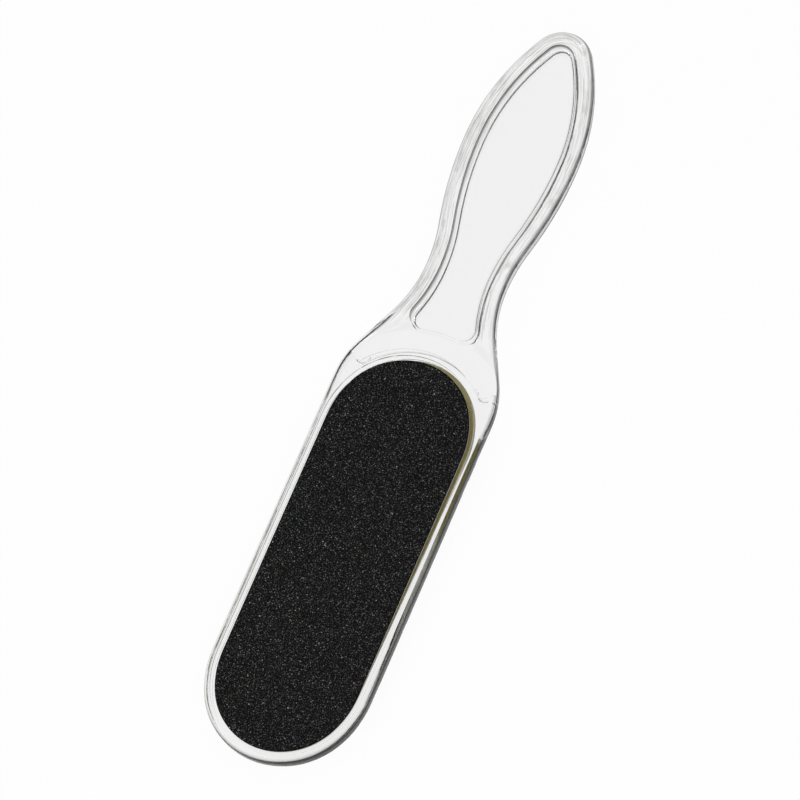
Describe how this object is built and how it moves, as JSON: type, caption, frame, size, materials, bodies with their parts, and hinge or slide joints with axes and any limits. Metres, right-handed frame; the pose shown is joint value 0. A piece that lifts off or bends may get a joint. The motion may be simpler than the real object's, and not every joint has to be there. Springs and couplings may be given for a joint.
{
  "type": "foot file",
  "caption": "Two-sided foot file: a clear moulded paddle with a leaf-shaped recessed handle and a black oval abrasive pad bonded into a shallow pocket on each face of its head.",
  "frame": {"origin": "centre of the bounding box in plan, on the plane of the rear abrasive face on which the file lies", "axes": "+Y along the file from the head end to the handle tip, +Z out of the front abrasive face, +X across the file to the right seen from the front with the handle up"},
  "size_m": [0.053, 0.25, 0.0064],
  "materials": {
    "clear_plastic": "polished, clear",
    "adhesive": "clear, tacky film",
    "backing_paper": "dull olive-tan waterproof paper",
    "black_grit": "coarse, sparkling mineral grain"
  },
  "bodies": {
    "root": {"paddle": "clear_plastic", "front_adhesive_film": "adhesive", "front_backing_paper": "backing_paper", "front_grit_coat": "black_grit", "rear_adhesive_film": "adhesive", "rear_backing_paper": "backing_paper", "rear_grit_coat": "black_grit"}
  },
  "joints": []
}
